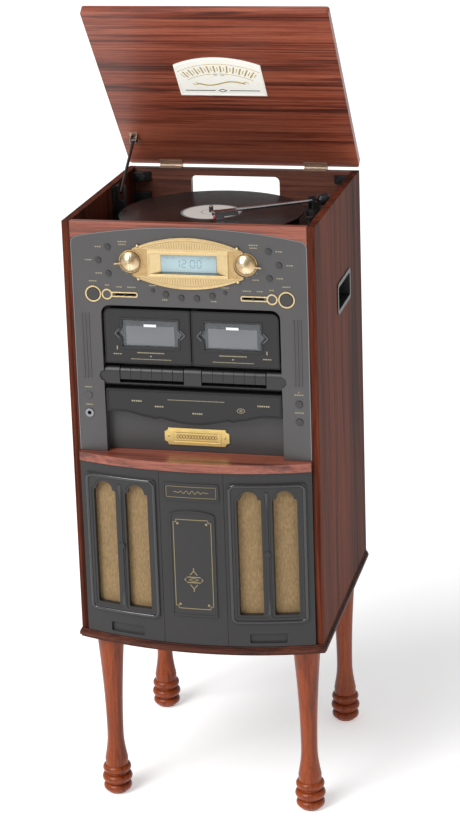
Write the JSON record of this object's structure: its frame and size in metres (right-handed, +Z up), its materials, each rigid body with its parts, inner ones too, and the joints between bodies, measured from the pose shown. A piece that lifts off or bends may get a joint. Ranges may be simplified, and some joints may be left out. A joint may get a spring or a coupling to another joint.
{
  "type": "record player music centre",
  "caption": "Free-standing wooden music centre on turned legs: record player under a hinged lid, radio, cassette decks, disc drawer and bowed speaker front.",
  "frame": {"origin": "on the floor, under the centre of the cabinet's side panels", "axes": "+X to the object's right as seen from its front, +Y to its back, +Z up"},
  "size_m": [0.408, 0.4401, 1.3003],
  "materials": {
    "side_wood": "satin vinyl-wrapped board, dark walnut red",
    "edge_wood": "satin red-brown",
    "leg_wood": "glossy lacquered red-brown",
    "lid_wood": "satin, streaked grain",
    "black_plastic": "fine matt",
    "fascia_plastic": "satin charcoal",
    "key_plastic": "satin",
    "button_plastic": "satin",
    "brass": "soft polished",
    "lcd_glass": "pale blue display",
    "grille_cloth": "woven tan cloth",
    "speaker_cone": "paper cone, dark",
    "circuit_board": "board",
    "hinge_metal": "dull plated",
    "motor_steel": "plain",
    "badge_enamel": "cream enamel",
    "rod_steel": "dark rod",
    "platter_mat": "rubber mat on platter",
    "vinyl": "grooved, with a pale label",
    "idler_rubber": "rubber",
    "arm_metal": "plated tube",
    "smoked_window": "smoked clear plastic"
  },
  "bodies": {
    "cabinet": {"left_side_panel": "side_wood", "right_side_panel": "side_wood", "back_panel": "side_wood", "front_boards": "edge_wood", "base_plate": "edge_wood", "legs": "leg_wood", "deck_board": "black_plastic", "upper_fascia": "fascia_plastic", "escutcheon": "brass", "display": "lcd_glass", "brass_trims": "brass", "name_plate": "brass", "media_chassis": "black_plastic", "centre_panel": "fascia_plastic", "speaker_frames": "fascia_plastic", "grille_cloths": "grille_cloth", "speakers": "speaker_cone", "power_board": "circuit_board", "rear_panel": "black_plastic", "hand_grips": "black_plastic", "hinge_leaves": "hinge_metal", "stay_bracket": "black_plastic", "corner_fittings": "black_plastic", "headphone_jack": "brass", "motor": "motor_steel"},
    "lid": {"lid": "lid_wood", "lid_badge": "badge_enamel", "lid_fittings": "hinge_metal"},
    "stay": {"stay_rod": "rod_steel"},
    "turntable": {"platter": "platter_mat", "record": "vinyl"},
    "idler": {"drive_wheel": "idler_rubber"},
    "arm_base": {"tonearm_base": "black_plastic"},
    "arm": {"tonearm": "arm_metal"},
    "volume": {"volume_knob": "brass"},
    "tuning": {"tuning_knob": "brass"},
    "drawer": {"cd_drawer": "fascia_plastic"},
    "left_door": {"left_tape_door": "fascia_plastic", "left_door_window": "smoked_window"},
    "right_door": {"right_tape_door": "fascia_plastic", "right_door_window": "smoked_window"},
    "left_pause_key": {"left_pause_key": "key_plastic"},
    "left_stop_key": {"left_stop_key": "key_plastic"},
    "left_forward_key": {"left_forward_key": "key_plastic"},
    "left_rewind_key": {"left_rewind_key": "key_plastic"},
    "left_play_key": {"left_play_key": "key_plastic"},
    "right_pause_key": {"right_pause_key": "key_plastic"},
    "right_stop_key": {"right_stop_key": "key_plastic"},
    "right_forward_key": {"right_forward_key": "key_plastic"},
    "right_rewind_key": {"right_rewind_key": "key_plastic"},
    "right_play_key": {"right_play_key": "key_plastic"},
    "left_buttons": {"left_buttons": "button_plastic"},
    "right_buttons": {"right_buttons": "button_plastic"},
    "preset_buttons": {"preset_buttons": "button_plastic"},
    "power_button": {"power_button": "button_plastic"},
    "mode_button": {"mode_button": "button_plastic"},
    "cd_open_button": {"cd_open_button": "button_plastic"},
    "cd_play_button": {"cd_play_button": "button_plastic"},
    "band_slider": {"band_slider": "black_plastic"},
    "function_slider": {"function_slider": "black_plastic"}
  },
  "joints": [
    {"name": "lid_hinge", "type": "hinge", "parent": "cabinet", "child": "lid", "pos_m": [0, 0.1978, 0.9895], "axis": [1, 0, 0], "range_deg": [0, 50.5]},
    {"name": "stay_swing", "type": "hinge", "parent": "lid", "child": "stay", "pos_m": [-0.177, 0.14509, 1.04324], "axis": [1, 0, 0], "range_deg": [-84, 0]},
    {"name": "platter_spin", "type": "hinge", "parent": "cabinet", "child": "turntable", "pos_m": [-0.01, 0.004, 0.945], "axis": [0, 0, 1], "continuous": true},
    {"name": "drive_wheel_spin", "type": "hinge", "parent": "cabinet", "child": "idler", "pos_m": [0.11465, 0.004, 0.9375], "axis": [0, 0, 1], "continuous": true},
    {"name": "tonearm_swing", "type": "hinge", "parent": "cabinet", "child": "arm_base", "pos_m": [0.152, 0.04, 0.95], "axis": [0, 0, 1], "range_deg": [-3, 64]},
    {"name": "tonearm_lift", "type": "hinge", "parent": "arm_base", "child": "arm", "pos_m": [0.152, 0.04, 0.972], "axis": [-0.5446, 0.8387, 0], "range_deg": [0, 5]},
    {"name": "volume_turn", "type": "hinge", "parent": "cabinet", "child": "volume", "pos_m": [-0.0915, -0.195, 0.926], "axis": [0, 1, 0], "range_deg": [-140, 140]},
    {"name": "tuning_turn", "type": "hinge", "parent": "cabinet", "child": "tuning", "pos_m": [0.0915, -0.195, 0.926], "axis": [0, 1, 0], "range_deg": [-140, 140]},
    {"name": "drawer_slide", "type": "slide", "parent": "cabinet", "child": "drawer", "axis": [0, -1, 0], "range_m": [0, 0.14]},
    {"name": "left_door_hinge", "type": "hinge", "parent": "cabinet", "child": "left_door", "pos_m": [-0.066, -0.183, 0.763], "axis": [1, 0, 0], "range_deg": [0, 30]},
    {"name": "right_door_hinge", "type": "hinge", "parent": "cabinet", "child": "right_door", "pos_m": [0.066, -0.183, 0.763], "axis": [1, 0, 0], "range_deg": [0, 30]},
    {"name": "left_pause_key_press", "type": "hinge", "parent": "cabinet", "child": "left_pause_key", "pos_m": [-0.1085, -0.179, 0.75], "axis": [1, 0, 0], "range_deg": [0, 10], "stiffness_Nm_per_rad": 0.25, "springref_deg": -4.58},
    {"name": "left_stop_key_press", "type": "hinge", "parent": "cabinet", "child": "left_stop_key", "pos_m": [-0.0915, -0.179, 0.75], "axis": [1, 0, 0], "range_deg": [0, 10], "stiffness_Nm_per_rad": 0.25, "springref_deg": -4.58},
    {"name": "left_forward_key_press", "type": "hinge", "parent": "cabinet", "child": "left_forward_key", "pos_m": [-0.0745, -0.179, 0.75], "axis": [1, 0, 0], "range_deg": [0, 10], "stiffness_Nm_per_rad": 0.25, "springref_deg": -4.58},
    {"name": "left_rewind_key_press", "type": "hinge", "parent": "cabinet", "child": "left_rewind_key", "pos_m": [-0.0575, -0.179, 0.75], "axis": [1, 0, 0], "range_deg": [0, 10], "stiffness_Nm_per_rad": 0.25, "springref_deg": -4.58},
    {"name": "left_play_key_press", "type": "hinge", "parent": "cabinet", "child": "left_play_key", "pos_m": [-0.032, -0.179, 0.75], "axis": [1, 0, 0], "range_deg": [0, 10], "stiffness_Nm_per_rad": 0.25, "springref_deg": -4.58},
    {"name": "right_pause_key_press", "type": "hinge", "parent": "cabinet", "child": "right_pause_key", "pos_m": [0.0235, -0.179, 0.75], "axis": [1, 0, 0], "range_deg": [0, 10], "stiffness_Nm_per_rad": 0.25, "springref_deg": -4.58},
    {"name": "right_stop_key_press", "type": "hinge", "parent": "cabinet", "child": "right_stop_key", "pos_m": [0.0405, -0.179, 0.75], "axis": [1, 0, 0], "range_deg": [0, 10], "stiffness_Nm_per_rad": 0.25, "springref_deg": -4.58},
    {"name": "right_forward_key_press", "type": "hinge", "parent": "cabinet", "child": "right_forward_key", "pos_m": [0.0575, -0.179, 0.75], "axis": [1, 0, 0], "range_deg": [0, 10], "stiffness_Nm_per_rad": 0.25, "springref_deg": -4.58},
    {"name": "right_rewind_key_press", "type": "hinge", "parent": "cabinet", "child": "right_rewind_key", "pos_m": [0.0745, -0.179, 0.75], "axis": [1, 0, 0], "range_deg": [0, 10], "stiffness_Nm_per_rad": 0.25, "springref_deg": -4.58},
    {"name": "right_play_key_press", "type": "hinge", "parent": "cabinet", "child": "right_play_key", "pos_m": [0.1, -0.179, 0.75], "axis": [1, 0, 0], "range_deg": [0, 10], "stiffness_Nm_per_rad": 0.25, "springref_deg": -4.58},
    {"name": "left_buttons_press", "type": "slide", "parent": "cabinet", "child": "left_buttons", "axis": [0, 1, 0], "range_m": [0, 0.0025], "stiffness_N_per_m": 250, "springref_m": -0.001},
    {"name": "right_buttons_press", "type": "slide", "parent": "cabinet", "child": "right_buttons", "axis": [0, 1, 0], "range_m": [0, 0.0025], "stiffness_N_per_m": 250, "springref_m": -0.001},
    {"name": "preset_buttons_press", "type": "slide", "parent": "cabinet", "child": "preset_buttons", "axis": [0, 1, 0], "range_m": [0, 0.0025], "stiffness_N_per_m": 250, "springref_m": -0.001},
    {"name": "power_button_press", "type": "slide", "parent": "cabinet", "child": "power_button", "axis": [0, 1, 0], "range_m": [0, 0.0025], "stiffness_N_per_m": 250, "springref_m": -0.001},
    {"name": "mode_button_press", "type": "slide", "parent": "cabinet", "child": "mode_button", "axis": [0, 1, 0], "range_m": [0, 0.0025], "stiffness_N_per_m": 250, "springref_m": -0.001},
    {"name": "cd_open_button_press", "type": "slide", "parent": "cabinet", "child": "cd_open_button", "axis": [0, 1, 0], "range_m": [0, 0.0025], "stiffness_N_per_m": 250, "springref_m": -0.001},
    {"name": "cd_play_button_press", "type": "slide", "parent": "cabinet", "child": "cd_play_button", "axis": [0, 1, 0], "range_m": [0, 0.0025], "stiffness_N_per_m": 250, "springref_m": -0.001},
    {"name": "band_slider_travel", "type": "slide", "parent": "cabinet", "child": "band_slider", "axis": [1, 0, 0], "range_m": [-0.013, 0.013]},
    {"name": "function_slider_travel", "type": "slide", "parent": "cabinet", "child": "function_slider", "axis": [1, 0, 0], "range_m": [-0.013, 0.013]}
  ],
  "couplings": [
    {"joint": "stay_swing", "follows": "lid_hinge", "ratio": -1.6535},
    {"joint": "drive_wheel_spin", "follows": "platter_spin", "ratio": 11.417}
  ]
}
